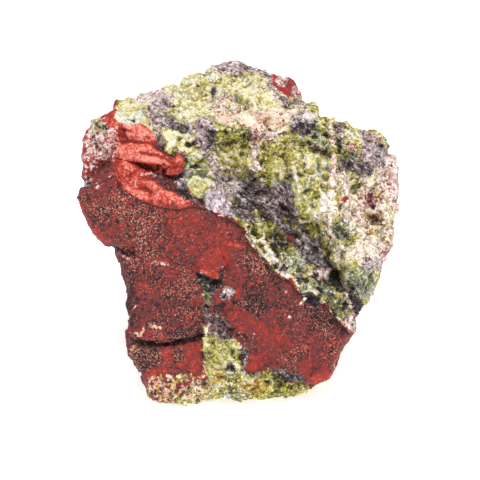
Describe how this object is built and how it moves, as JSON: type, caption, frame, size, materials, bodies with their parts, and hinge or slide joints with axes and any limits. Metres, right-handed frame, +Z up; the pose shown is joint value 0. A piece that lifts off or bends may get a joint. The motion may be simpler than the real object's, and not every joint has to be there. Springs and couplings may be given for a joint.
{
  "type": "dragon blood stone",
  "caption": "Rough chunk of red jasper grown together with green epidote, broken out of the rock in one piece and resting on a flat foot.",
  "frame": {"origin": "under the middle of the stone's bounding box, on the plane of the flat foot that it rests on", "axes": "+Z is up. The broad red face looks towards -Y, leaning back by 24 degrees, and +X is to the right for someone who looks at that face"},
  "size_m": [0.0536, 0.0508, 0.0438],
  "materials": {
    "jasper_and_epidote": "rough broken stone: dull red with yellow-green and pale grains"
  },
  "bodies": {
    "root": {"dragon_blood_stone": "jasper_and_epidote"}
  },
  "joints": []
}
